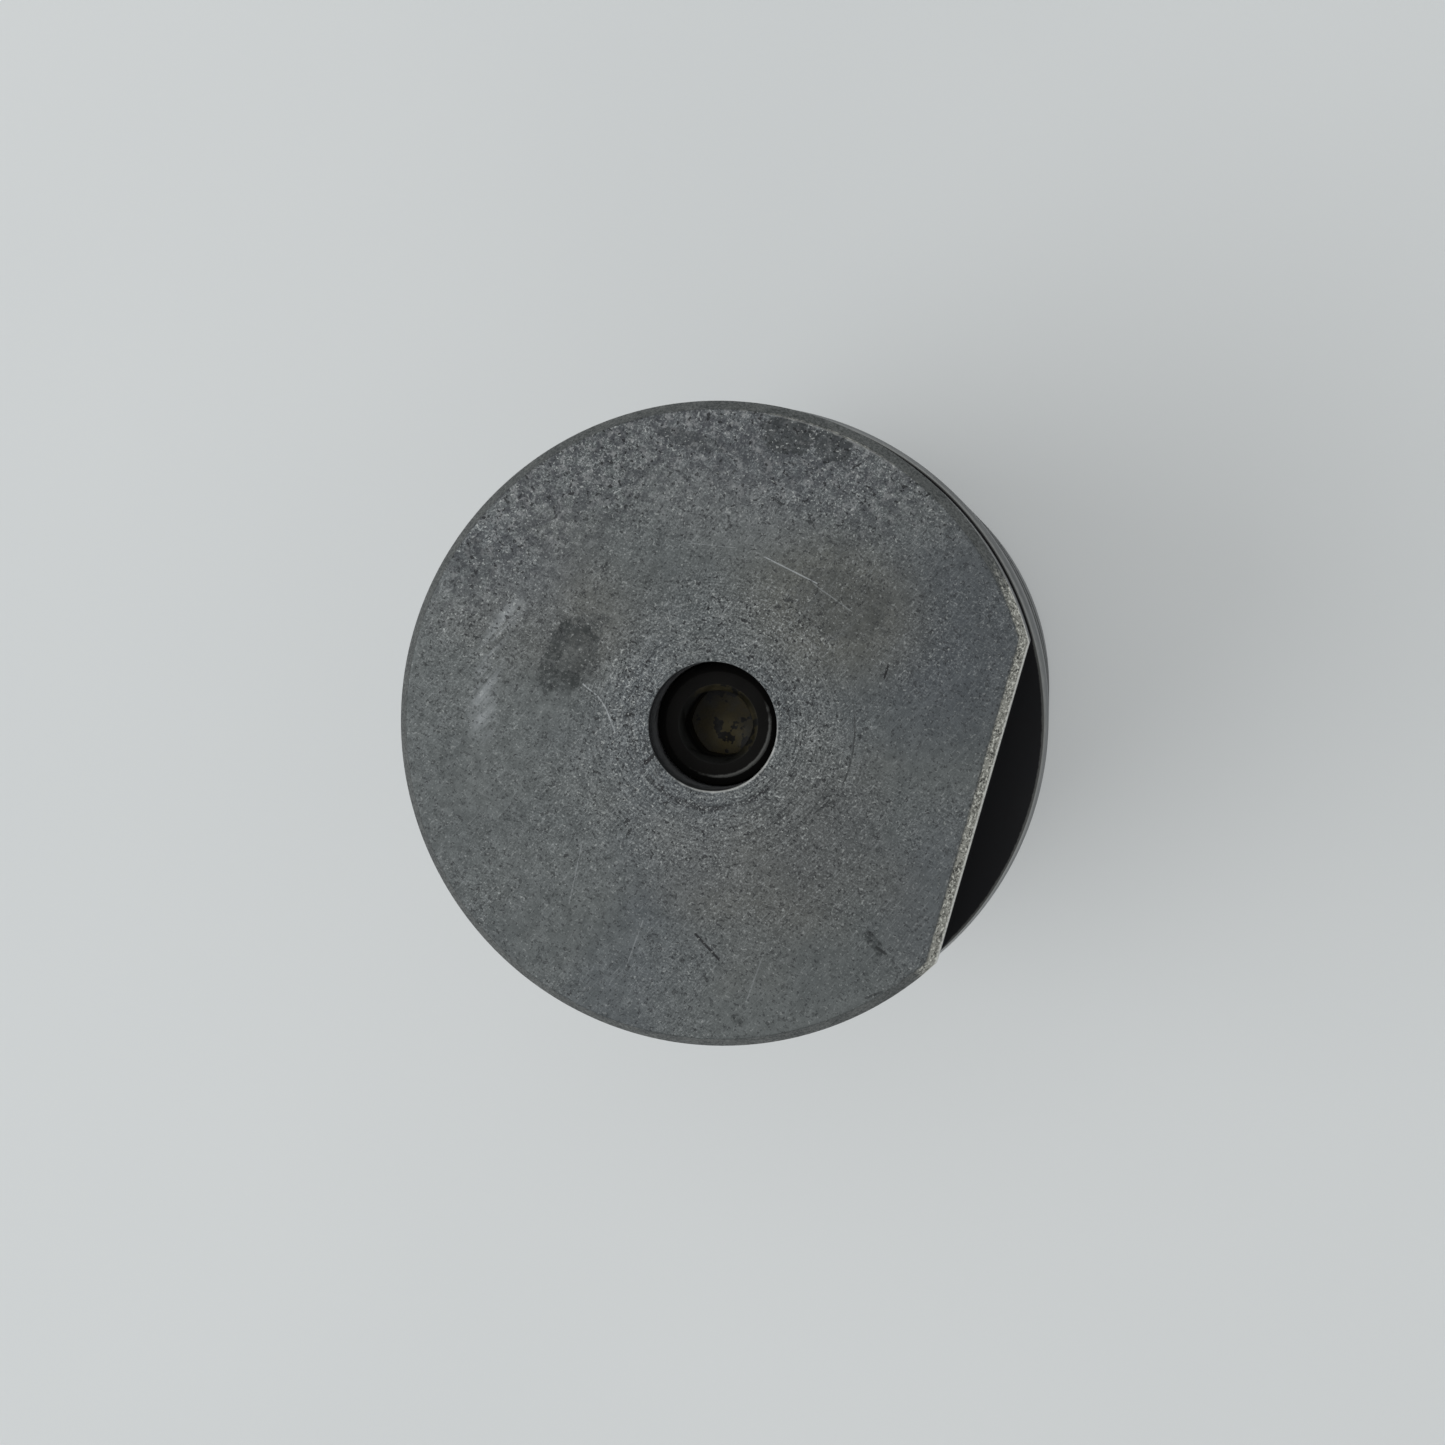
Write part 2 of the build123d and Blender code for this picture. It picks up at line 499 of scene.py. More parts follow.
def scratch(tree, position, start, end, width, core=0.55):
    """Line between two points: 1 on it, fading out from the core share of its half width."""
    a, b = Vector(start), Vector(end)
    along = (b - a).normalized()
    offset = vector_calc(tree, "SUBTRACT", position, a).outputs[0]
    run = vector_calc(tree, "DOT_PRODUCT", offset, along).outputs["Value"]
    run = add(tree, "ShaderNodeClamp", {"Value": run, "Min": 0.0, "Max": (b - a).length}).outputs[0]
    nearest = add(tree, "ShaderNodeVectorMath", {0: along, "Scale": run}, operation="SCALE").outputs[0]
    gap = vector_calc(tree, "DISTANCE", offset, nearest).outputs["Value"]
    return ramp(tree, gap, width, width * core)


def ragged(tree, patch, uneven, low, high):
    """A soft patch cut to a ragged outline."""
    cut = ramp(tree, plus(tree, patch, uneven), low, high)
    return times(tree, cut, ramp(tree, patch, 0.0, 0.1))


# ---------------------------------------------------------------- material of the end face

def face_ground(tree, position):
    """The face's dark grey, with its warmer, cooler, lighter and darker areas."""
    cloud = noise(tree, position, 170, 4, 0.6)
    colour = mix(tree, ramp(tree, cloud, 0.3, 0.7), (0.059, 0.066, 0.067), (0.081, 0.088, 0.087))
    warm = ramp(tree, noise(tree, shifted(tree, position, 0.03), 130, 2), 0.5, 0.75, 0.0, 0.30)
    colour = mix(tree, warm, colour, (0.090, 0.081, 0.066))
    cool = ramp(tree, noise(tree, shifted(tree, position, 0.07), 110, 2), 0.5, 0.7, 0.0, 0.35)
    colour = mix(tree, cool, colour, (0.052, 0.061, 0.075))
    for centre, size, strength, tint in TINTS:
        area = spot(tree, position, (*centre, LENGTH), (*size, 1.0))
        colour = overlay(tree, colour, tint, area, strength)
    return colour


def deep_ring(tree, radius, turn, broken):
    """Mask of the deep tool ring beside the hole."""
    line = ramp(tree, gap_from(tree, radius, GROOVE_R), 0.14 * MM, 0.06 * MM)
    long_part = ramp(tree, facing(tree, turn, GROOVE_TURN), 0.35, 0.8)
    short_part = ramp(tree, facing(tree, turn, GROOVE_END), 0.80, 0.95, 0, 0.6)
    return times(tree, line, times(tree, calc(tree, "MAXIMUM", long_part, short_part), broken))


def with_tool_rings(tree, colour, rings, near_hole, groove):
    """Light and dark tool rings round the hole, and the deep one."""
    light_rings = times(tree, ramp(tree, rings, 0.53, 0.66), near_hole)
    dark_rings = times(tree, ramp(tree, rings, 0.47, 0.34), near_hole)
    colour = overlay(tree, colour, (0.178, 0.184, 0.180), light_rings, 0.58)
    colour = overlay(tree, colour, (0.018, 0.020, 0.021), dark_rings, 0.75)
    return overlay(tree, colour, (0.014, 0.015, 0.016), groove, 0.95)


def with_grain(tree, position, colour, grain, lively):
    """Grain of the oxide and two sets of fine scratches across it, strong where lively is high."""
    bright_grain = times(tree, ramp(tree, grain, 0.52, 0.66), lively)
    dark_grain = times(tree, ramp(tree, grain, 0.48, 0.36), lively)
    colour = mix(tree, bright_grain, colour, (0.235, 0.245, 0.245))
    colour = mix(tree, dark_grain, colour, (0.012, 0.014, 0.016))
    for degrees, strength in STREAKS:
        fine = streaks_along(tree, position, degrees, 10500, 1500)
        streaky = times(tree, plus(tree, lively, 0.35), strength)
        bright_lines = times(tree, ramp(tree, fine, 0.55, 0.72), streaky)
        dark_lines = times(tree, ramp(tree, fine, 0.45, 0.30), streaky)
        colour = mix(tree, bright_lines, colour, (0.23, 0.24, 0.24))
        colour = mix(tree, dark_lines, colour, (0.016, 0.018, 0.020))
    return colour


def with_patina(tree, position, colour, patina):
    """Mottled darker and paler patches beside the rim."""
    blotch = ramp(tree, noise(tree, position, 2200, 5, 0.80), 0.48, 0.54)
    colour = overlay(tree, colour, (0.038, 0.040, 0.046), times(tree, patina, blotch), 0.70)
    pale = ramp(tree, noise(tree, shifted(tree, position, 0.05), 2600, 5, 0.75), 0.52, 0.60)
    return overlay(tree, colour, (0.190, 0.192, 0.194), times(tree, patina, pale), 0.55)


def with_stains(tree, position, colour):
    """Soft dark stains with ragged outlines."""
    uneven = times(tree, noise(tree, position, 1300, 6, 0.80), 2.6)
    mottle = ramp(tree, noise(tree, position, 5200, 3, 0.8), 0.36, 0.56, 0.45, 1.0)
    for centre, size, strength in STAINS:
        area = spot(tree, position, (*centre, LENGTH), (*size, 1.0))
        stain = times(tree, ragged(tree, area, uneven, 1.62, 1.84), mottle)
        colour = overlay(tree, colour, (0.021, 0.024, 0.025), stain, strength)
    return colour


def with_scuff(tree, colour, radius, turn, streaks):
    """Pale scuff in an arc, broken up by the streaks."""
    band = ramp(tree, gap_from(tree, radius, SCUFF_R), 0.75 * MM, 0.05 * MM)
    reach = ramp(tree, facing(tree, turn, SCUFF_TURN), 0.93, 0.98)
    scuff = times(tree, band, times(tree, reach, ramp(tree, streaks, 0.35, 0.6)))
    return overlay(tree, colour, (0.185, 0.195, 0.20), scuff, 0.75)


def with_smears(tree, position, colour):
    """Dark smears, ragged and mottled."""
    uneven = times(tree, noise(tree, position, 2600, 5, 0.8), 2.0)
    mottle = ramp(tree, noise(tree, position, 5200, 3, 0.8), 0.38, 0.56, 0.30, 1.0)
    for start, end, width, strength in SMEARS:
        line = scratch(tree, position, (*start, LENGTH), (*end, LENGTH), width, 0.05)
        smear = times(tree, ragged(tree, line, uneven, 1.36, 1.60), mottle)
        colour = overlay(tree, colour, (0.019, 0.022, 0.022), smear, strength)
    return colour


def with_fine_rings(tree, colour, radius, turn, broken):
    for ring_radius, middle, strength in FINE_RINGS:
        line = ramp(tree, gap_from(tree, radius, ring_radius), 0.05 * MM, 0.02 * MM)
        ring = times(tree, line, ramp(tree, facing(tree, turn, middle), 0.93, 0.98))
        ring = times(tree, ring, times(tree, broken, strength))
        colour = mix(tree, ring, colour, (0.016, 0.018, 0.018))
    return colour


def with_scratches(tree, position, colour):
    dark, bright = (0.009, 0.010, 0.011), (0.25, 0.26, 0.265)
    for start, end, width, strength in SCRATCHES:
        line = scratch(tree, position, (*start, LENGTH), (*end, LENGTH), width)
        colour = overlay(tree, colour, dark if strength < 0 else bright, line, abs(strength))
    return colour


def with_pits(tree, position, colour, pits, lively):
    """Dark pits of two sizes and small bright points."""
    depth = ramp(tree, lively, 0.1, 0.7, 0.35, 0.95)
    colour = overlay(tree, colour, (0.010, 0.011, 0.012), pits, depth)
    small_pits = speckle(tree, shifted(tree, position, 0.02), 8600, 0.625, 0.05)
    colour = overlay(tree, colour, (0.014, 0.015, 0.017), small_pits, 0.65)
    glints = speckle(tree, shifted(tree, position, 0.09), 8800, 0.640, 0.05)
    return overlay(tree, colour, (0.34, 0.35, 0.34), glints, times(tree, depth, 0.65))


def end_face_material():
    """Blackened and worn end face."""
    material, tree, shader, position = new_material("blackened_end_face")
    radius = radius_of(tree, position)
    turn = turn_of(tree, position)
    near_hole = ramp(tree, radius, 7.0 * MM, 2.8 * MM)
    rings = arcs(tree, radius, turn, 10500)
    broken = ramp(tree, noise(tree, position, 2400, 4, 0.7), 0.42, 0.58, 0.45, 1.0)
    groove = deep_ring(tree, radius, turn, broken)
    near_rim = ramp(tree, radius, 6.5 * MM, 11.5 * MM)
    patina = times(tree, near_rim, ramp(tree, facing(tree, turn, PATINA_TURN), 0.30, 0.85))
    grain = noise(tree, position, 11500, 2, 0.8)
    lively = plus(tree, times(tree, near_hole, 0.53), times(tree, patina, 0.50))
    lively = plus(tree, lively, ramp(tree, noise(tree, position, 260, 3), 0.38, 0.62, 0.08, 0.34))
    streaks = streaks_along(tree, position, STREAKS[0][0], 2100, 210)
    pits = speckle(tree, position, 5600, 0.640, 0.04)
    colour = face_ground(tree, position)
    colour = with_tool_rings(tree, colour, rings, near_hole, groove)
    colour = with_grain(tree, position, colour, grain, lively)
    colour = mix(tree, ramp(tree, streaks, 0.56, 0.80, 0.0, 0.20), colour, (0.150, 0.160, 0.165))
    colour = with_patina(tree, position, colour, patina)
    colour = with_stains(tree, position, colour)
    colour = with_scuff(tree, colour, radius, turn, streaks)
    colour = with_smears(tree, position, colour)
    colour = with_fine_rings(tree, colour, radius, turn, broken)
    colour = with_scratches(tree, position, colour)
    colour = with_pits(tree, position, colour, pits, lively)
    colour = overlay(tree, colour, (0.30, 0.30, 0.29), wear_and_highlight_mask(tree, position), 0.75)
    rough = ramp(tree, noise(tree, position, 2200, 4, 0.6), 0.3, 0.7, 0.44, 0.62)
    finish_shader(tree, shader, colour, rough, 0.55)
    relief = times(tree, times(tree, rings, near_hole), 1.2)
    relief = plus(tree, relief, times(tree, grain, 0.9))
    relief = calc(tree, "SUBTRACT", relief, plus(tree, pits, groove))
    bump(tree, shader, relief, 0.016 * MM, 0.7)
    return material


# ---------------------------------------------------------------- other materials

def wall_material(name, dark, light, pitch):
    """Turned and blackened outside wall, with fine lathe lines round it."""
    material, tree, shader, position = new_material(name)
    cloud = noise(tree, position, 260, 4, 0.6)
    lines = noise(tree, stretched(tree, position, (0.02, 0.02, 1.0)), 1.0 / pitch, 3, 0.7)
    tone = plus(tree, times(tree, cloud, 0.5), times(tree, lines, 0.5))
    colour = mix(tree, ramp(tree, tone, 0.35, 0.65), dark, light)
    pits = speckle(tree, position, 2600, 0.66, 0.05)
    colour = overlay(tree, colour, (0.02, 0.02, 0.022), pits, 0.6)
    rubbed = ramp(tree, noise(tree, stretched(tree, position, (0.4, 0.4, 1.6)), 420, 5, 0.7), 0.60, 0.74)
    colour = overlay(tree, colour, (0.17, 0.175, 0.18), rubbed, 0.45)
    colour = mix(tree, wear_and_highlight_mask(tree, position), colour, BARE_DARK)
    rough = ramp(tree, lines, 0.3, 0.7, 0.30, 0.50)
    finish_shader(tree, shader, colour, rough, 0.65)
    bump(tree, shader, plus(tree, lines, times(tree, cloud, 0.3)), 0.01 * MM, 0.45)
    return material


def steel_grain(tree, position):
    """Grainy bare steel with dark remains in its hollows: its colour and the grain."""
    grain = noise(tree, position, 9000, 3, 0.9)
    patches = noise(tree, position, 1800, 3, 0.6)
    mottle = plus(tree, times(tree, grain, 0.75), times(tree, patches, 0.25))
    colour = mix(tree, ramp(tree, mottle, 0.42, 0.52), (0.042, 0.041, 0.037), BARE)
    bright = speckle(tree, shifted(tree, position, 0.04), 9000, 0.56, 0.04)
    return overlay(tree, colour, (0.78, 0.77, 0.70), bright, 0.8), grain


def bare_material():
    """Edge where the black is rubbed right off."""
    material, tree, shader, position = new_material("bare_edge")
    colour, grain = steel_grain(tree, position)
    rough = ramp(tree, grain, 0.3, 0.7, 0.55, 0.38)
    finish_shader(tree, shader, colour, rough, 0.75)
    bump(tree, shader, grain, 0.03 * MM, 0.6)
    return material


def edge_material():
    """Broken edge that keeps its black except where the wear attribute rubs it off."""
    material, tree, shader, position = new_material("broken_edge")
    steel, grain = steel_grain(tree, position)
    cloud = noise(tree, position, 900, 4, 0.65)
    kept = mix(tree, ramp(tree, cloud, 0.3, 0.7), (0.082, 0.087, 0.087), (0.132, 0.137, 0.133))
    kept = mix(tree, ramp(tree, grain, 0.50, 0.66, 0.0, 0.5), kept, (0.22, 0.225, 0.22))
    kept = mix(tree, ramp(tree, grain, 0.50, 0.36, 0.0, 0.6), kept, (0.015, 0.016, 0.016))
    colour = mix(tree, wear_and_highlight_mask(tree, position), kept, steel)
    most_worn = ramp(tree, wear_attribute(tree), 0.96, 0.99)
    polished = times(tree, most_worn, ramp(tree, grain, 0.35, 0.50, 0.4, 1.0))
    colour = mix(tree, polished, colour, POLISHED)
    rough = ramp(tree, grain, 0.3, 0.7, 0.60, 0.42)
    finish_shader(tree, shader, colour, rough, 0.65)
    bump(tree, shader, grain, 0.02 * MM, 0.5)
    return material


def black_material(name, tone, roughness_low, roughness_high, specular):
    """Untouched black oxide, even in tone. A tone darker than the oxide's own paints shade into it."""
    material, tree, shader, position = new_material(name)
    cloud = noise(tree, position, 700, 3, 0.5)
    deep = tuple(channel * 0.75 for channel in tone)
    colour = mix(tree, ramp(tree, cloud, 0.35, 0.65), deep, tone)
    colour = overlay(tree, colour, BARE_DARK, wear_and_highlight_mask(tree, position), 0.5)
    rough = ramp(tree, cloud, 0.3, 0.7, roughness_low, roughness_high)
    finish_shader(tree, shader, colour, rough, 0.0, specular)
    bump(tree, shader, noise(tree, position, 3000, 3, 0.6), 0.006 * MM, 0.4)
    return material


def bore_material():
    """Blackened hole wall, paler where dust has settled above the screw."""
    material, tree, shader, position = new_material("black_bore")
    cloud = noise(tree, position, 1500, 4, 0.7)
    dusty = ramp(tree, height_of(tree, position), LENGTH - 0.1 * MM, LENGTH - SCREW_DROP)
    colour = mix(tree, dusty, (0.034, 0.035, 0.037), (0.150, 0.152, 0.156))
    colour = mix(tree, ramp(tree, cloud, 0.45, 0.65, 0.0, 0.5), colour, (0.016, 0.016, 0.017))
    colour = mix(tree, wear_and_highlight_mask(tree, position), colour, BARE_DARK)
    rough = ramp(tree, cloud, 0.3, 0.7, 0.45, 0.60)
    finish_shader(tree, shader, colour, rough, 0.0, 0.3)
    bump(tree, shader, cloud, 0.01 * MM, 0.4)
    return material


def residue_material():
    """Dried brown grease in a socket, with black smudges, and painted shade, near black, up its walls."""
    material, tree, shader, position = new_material("socket_residue")
    height = height_of(tree, position)
    turn = turn_of(tree, position)
    mouth = SOCKET_FLOOR + M5["socket"]
    cloud = noise(tree, position, 800, 4, 0.6)
    colour = mix(tree, ramp(tree, cloud, 0.35, 0.65), (0.010, 0.0085, 0.0038), (0.034, 0.027, 0.012))
    light = spot(tree, position, (*RESIDUE_LIGHT, SOCKET_FLOOR), (1.0 * MM, 0.9 * MM, 3.0 * MM))
    colour = overlay(tree, colour, (0.062, 0.050, 0.021), light, 0.7)
    smudge = ramp(tree, noise(tree, shifted(tree, position, 0.02), 1450, 3, 0.6), 0.53, 0.56)
    colour = overlay(tree, colour, (0.002, 0.002, 0.002), smudge, 0.95)
    uneven = times(tree, noise(tree, position, 1100, 3), 0.9 * MM)
    # Painted shade: near black from about a millimetre above the socket floor upwards, over the walls and
    # the lead-in cone
    painted_wall_shade = ramp(tree, plus(tree, height, uneven), SOCKET_FLOOR + 0.8 * MM, SOCKET_FLOOR + 1.4 * MM)
    # On one side the grease also covers the lead-in cone
    crept = ramp(tree, height, mouth - SOCKET_LEAD, mouth - SOCKET_LEAD * 0.6)
    one_side = ramp(tree, facing(tree, turn, CREPT_TURN), -0.3, 0.5)
    painted_wall_shade = calc(tree, "SUBTRACT", painted_wall_shade, times(tree, crept, times(tree, one_side, 0.85)))
    colour = mix(tree, painted_wall_shade, colour, (0.004, 0.004, 0.0035))
    rough = ramp(tree, cloud, 0.3, 0.7, 0.45, 0.8)
    finish_shader(tree, shader, colour, rough, 0.0, 0.15)
    bump(tree, shader, cloud, 0.1 * MM, 0.6)
    return material


FLOOR_GLOW = 0.62


def floor_material():
    """Pale sheet that glows faintly, painted light that keeps shadows on it weak."""
    material, tree, shader, position = new_material("pale_floor")
    cloud = noise(tree, position, 14, 3, 0.5)
    colour = mix(tree, ramp(tree, cloud, 0.3, 0.7), (0.368, 0.379, 0.381), (0.383, 0.393, 0.394))
    tree.links.new(colour, shader.inputs["Base Color"])
    tree.links.new(colour, shader.inputs["Emission Color"])
    shader.inputs["Emission Strength"].default_value = FLOOR_GLOW
    shader.inputs["Roughness"].default_value = 0.75
    shader.inputs["Specular IOR Level"].default_value = 0.2
    return material


END_FACE = end_face_material()
WALL = wall_material("blackened_wall", (0.036, 0.038, 0.040), (0.076, 0.079, 0.082), 0.12 * MM)
BEAM = wall_material("blackened_beam", (0.029, 0.031, 0.033), (0.063, 0.066, 0.069), 0.10 * MM)
BARE_EDGE = bare_material()
BROKEN_EDGE = edge_material()
LEDGE = black_material("black_ledge", (0.0095, 0.0095, 0.0110), 0.55, 0.68, 0.12)
BORE = bore_material()
# The axial screw's top is much darker than the radial screws: painted shade of the hole it sits in.
SHADED_PLUG = black_material("plug_painted_shade", (0.0080, 0.0076, 0.0072), 0.6, 0.75, 0.02)
SCREW = black_material("black_screw", (0.020, 0.020, 0.020), 0.28, 0.42, 0.4)
RESIDUE = residue_material()


# ---------------------------------------------------------------- upper hub

def rim_wear(point):
    """The nose's broken edge is bare along the flat and for a short way past its corners."""
    corner = math.acos(FLAT_X / NOSE_R)
    turn = math.atan2(point.y, point.x)
    fade = math.radians(15 if turn > 0 else 4)
    past = max(0.0, abs(turn) - corner)
    return 0.10 + 0.85 * math.exp(-((past / fade) ** 2))


def inner_wear(point):
    """The inner line of that edge keeps more of its black, except on the patina's side."""
    past = math.atan2(point.y, point.x) - math.radians(MARK_TURN + 68)
    return 0.45 * rim_wear(point) + 0.55 * math.exp(-((past / math.radians(28)) ** 2))


def outer_wear(point):
    """The outermost line of that edge is polished where the edge itself is bare."""
    wear = rim_wear(point)
    return 1.0 if wear > 0.6 else wear


def hole_wear_and_highlight(point):
    """The hole's mouth: some wear all round, and a painted highlight along the side away from the patina.
    """
    turn = math.atan2(point.y, point.x)
    return 0.25 + 0.65 * max(0.0, math.cos(turn - math.radians(MARK_TURN - 60)))


def taper_wear(point):
    """The taper below the ledge is bare at its top and fades downwards."""
    share = (point.z - BEVEL_BOTTOM_Z) / (LEDGE_Z - BEVEL_BOTTOM_Z)
    return 0.15 + 0.75 * max(0.0, share) ** 1.5


def root_wear(point):
    """The hub's lower edge is rubbed only where no beam grows out of it."""
    rise = TURN * (HUB_BOTTOM - RING_TOP) / BEAM_LEAD
    share = (math.atan2(point.y, point.x) - rise) / TURN * BEAM_COUNT % 1.0
    return 0.0 if share < BEAM_COUNT * BEAM_THICKNESS / BEAM_LEAD else 0.6


def build_upper_hub():
    """Upper hub in one skin: hole, end face, broken edge, nose, ledge, taper and wall."""
    face, edge, wall, black, bore = range(5)
    corner = 0.12 * MM
    reference = d_outline(NOSE_R, FLAT_X, corner, 0, 0)
    angles = [math.atan2(p.y, p.x) for p in reference]
    chamfer_top = d_outline(NOSE_R - RIM_BREAK_R, FLAT_X - FLAT_BREAK, corner, LENGTH, LENGTH)
    chamfer_low = d_outline(NOSE_R, FLAT_X, corner, LENGTH - RIM_BREAK_Z, LENGTH - FLAT_BREAK)
    root = d_outline(NOSE_R, FLAT_X, corner, LEDGE_Z, LEDGE_Z)
    corners = [
        (circle(AXIAL_HOLE_R, HUB_BOTTOM, angles), EDGE_ROUND, 0.3, bore, 0.0),
        (circle(AXIAL_HOLE_R, LENGTH, angles), EDGE_ROUND, hole_wear_and_highlight, face, 0.0),
        (chamfer_top, EDGE_ROUND, inner_wear, edge, rim_wear),
        (chamfer_low, EDGE_ROUND, outer_wear, wall, 0.0),
        (root, EDGE_ROUND, 0.0, black, 0.0),
        (circle(LEDGE_R, LEDGE_Z, angles), EDGE_ROUND, 0.94, wall, taper_wear),
        (circle(BODY_R, BEVEL_BOTTOM_Z, angles), EDGE_ROUND, 0.12, wall, 0.0),
        (circle(BODY_R, HUB_BOTTOM, angles), EDGE_ROUND, root_wear, wall, 0.0),
    ]
    rows = rounded_rows(corners, closed=True)
    hub = skin("upper_hub_skin", rows, True, [END_FACE, BROKEN_EDGE, WALL, LEDGE, BORE])
    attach(hub, "upper_hub")
    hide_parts("upper_hub")


# ---------------------------------------------------------------- set screws

def thread_row(screw, height, angles):
    """Outline of a threaded screw at one height."""
    points = []
    for angle in angles:
        phase = (height / screw["pitch"] - angle / TURN) % 1.0
        reach = screw["radius"] - screw["depth"] * (1 - abs(2 * phase - 1)) ** 1.3
        points.append(Vector((reach * math.cos(angle), reach * math.sin(angle), height)))
    return points


def build_screw(name, node, screw, axis, turn, skins, edge_wear_and_highlight, packed):
    """Set screw made standing on its tip, then laid along its axis in its hole.

    packed is how far dirt fills the socket's corners: 0 leaves a sharp hexagon, 1 a circle.
    """
    body, floor = range(2)
    low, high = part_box(node)
    length = max(high - low)
    angles = even_angles(ROUND_COLUMNS)
    edge_r = screw["radius"] - screw["edge"]
    tip_r = edge_r * 0.55
    root_r = screw["radius"] - screw["depth"] * 0.2
    rows = rounded_rows([
        (circle(tip_r, 0, angles), 0, 0.0, body, 0.0),
        (circle(edge_r, 0, angles), EDGE_ROUND, 0.5, body, 0.0),
        (circle(root_r, screw["edge"], angles), 0, 0.0, body, 0.0),
    ], closed=False)
    threaded = length - 2 * screw["edge"]
    steps = int(threaded / screw["pitch"] * THREAD_STEPS)
    for step in range(1, steps):
        row = thread_row(screw, screw["edge"] + threaded * step / steps, angles)
        rows.append((row, [0.0] * len(row), body))
    across = screw["hex"]
    socket_floor = length - screw["socket"]
    residue_top = socket_floor + screw["socket"] * 0.55
    floor_dip = 0.12 * MM
    rows += rounded_rows([
        (circle(root_r, length - screw["edge"], angles), 0, 0.0, body, 0.0),
        (circle(edge_r, length, angles), EDGE_ROUND, edge_wear_and_highlight, body, 0.0),
        (circle(across / 2 + SOCKET_LEAD, length, angles), EDGE_ROUND, 0.0, floor, 0.0),
        (hexagon(across, length - SOCKET_LEAD, angles, packed), EDGE_ROUND, 0.0, body, 0.0),
        (hexagon(across, residue_top, angles, packed), 0, 0.0, floor, 0.0),
        (hexagon(across, socket_floor, angles, packed), 0, 0.0, floor, 0.0),
        (hexagon(across * 0.5, socket_floor - floor_dip, angles, packed), 0, 0.0, floor, 0.0),
    ], closed=False)
    piece = skin(name, rows, False, skins, capped=True)
    middle = (low + high) / 2
    tip = middle - axis * length / 2
    spin = Matrix.Rotation(math.radians(turn), 4, "Z")
    lay = axis.to_track_quat("Z", "Y").to_matrix().to_4x4()
    piece.data.transform(Matrix.Translation(tip) @ lay @ spin)
    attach(piece, node)
    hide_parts(node)


def plug_wear_and_highlight(point):
    """The axial screw's edge: slight wear, and a faint painted highlight along one side."""
    turn = math.atan2(point.y, point.x) + math.radians(AXIAL_HEX_TURN + 180)
    return 0.15 + 0.80 * max(0.0, math.cos(turn - math.radians(MARK_TURN - 45)))


def build_screws():
    x, y, z = Vector((1, 0, 0)), Vector((0, 1, 0)), Vector((0, 0, 1))
    build_screw("axial_screw", "axial_set_screw", M5, z, AXIAL_HEX_TURN, [SHADED_PLUG, RESIDUE], plug_wear_and_highlight, 0.65)
    for number, axis in ((1, x), (2, y)):
        name, node = f"radial_screw_{number}", f"lower_set_screw_{number}"
        build_screw(name, node, M4, axis, 0, [SCREW, SCREW], 0.6, 0.0)


# ---------------------------------------------------------------- beams

def beam_section(height, bottom, start):
    """A beam's outline at one height, its two outer corners rounded and worn: its points and their wear."""
    width = TURN * BEAM_THICKNESS / BEAM_LEAD
    spun = start + TURN * (height - bottom) / BEAM_LEAD
    turn_in = TURN * BEAM_CORNER / BEAM_LEAD
    side_r = BODY_R - BEAM_CORNER * 0.95
    corner_r = BODY_R - BEAM_CORNER * 0.3
    middle_r = RELIEF_R * 0.5 + BODY_R * 0.5
    outline = [(side_r, 0.0), (corner_r, turn_in * 0.35)]
    for step in range(SECTION_STEPS + 1):
        outline.append((BODY_R, turn_in + (width - 2 * turn_in) * step / SECTION_STEPS))
    outline += [(corner_r, width - turn_in * 0.35), (side_r, width), (middle_r, width), (RELIEF_R, width)]
    for step in range(1, SECTION_STEPS):
        outline.append((RELIEF_R, width * (1 - step / SECTION_STEPS)))
    outline += [(RELIEF_R, 0.0), (middle_r, 0.0)]
    worn_r = BODY_R - BEAM_CORNER * 1.1
    worn_turn = turn_in * 1.4
    points, wear = [], []
    for radius, turn in outline:
        points.append(Vector((radius * math.cos(spun + turn), radius * math.sin(spun + turn), height)))
        by_corner = radius > worn_r and not worn_turn < turn < width - worn_turn
        wear.append(0.55 if by_corner else 0.0)
    return points, wear


def build_half_beam(name, bottom, low, high, start, nodes, tuck_low=0.0, tuck_high=0.0):
    """Half a beam. Its root is tucked into the rounded edge of the body that it grows from."""
    vertices, worn, faces = [], [], []
    root, tip = low - tuck_low, high + tuck_high
    for step in range(HALF_BEAM_STEPS + 1):
        points, wear = beam_section(root + (tip - root) * step / HALF_BEAM_STEPS, bottom, start)
        vertices += points
        worn += wear
    width = len(points)
    for step in range(HALF_BEAM_STEPS):
        first = step * width
        second = first + width
        for column in range(width):
            following = (column + 1) % width
            faces.append((first + column, first + following, second + following, second + column))
    faces.append(tuple(reversed(range(width))))
    faces.append(tuple(range(HALF_BEAM_STEPS * width, (HALF_BEAM_STEPS + 1) * width)))
    piece = make_object(name, vertices, faces, [0] * len(faces), worn, [BEAM])
    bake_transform(piece)
    for node in nodes:
        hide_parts(node)


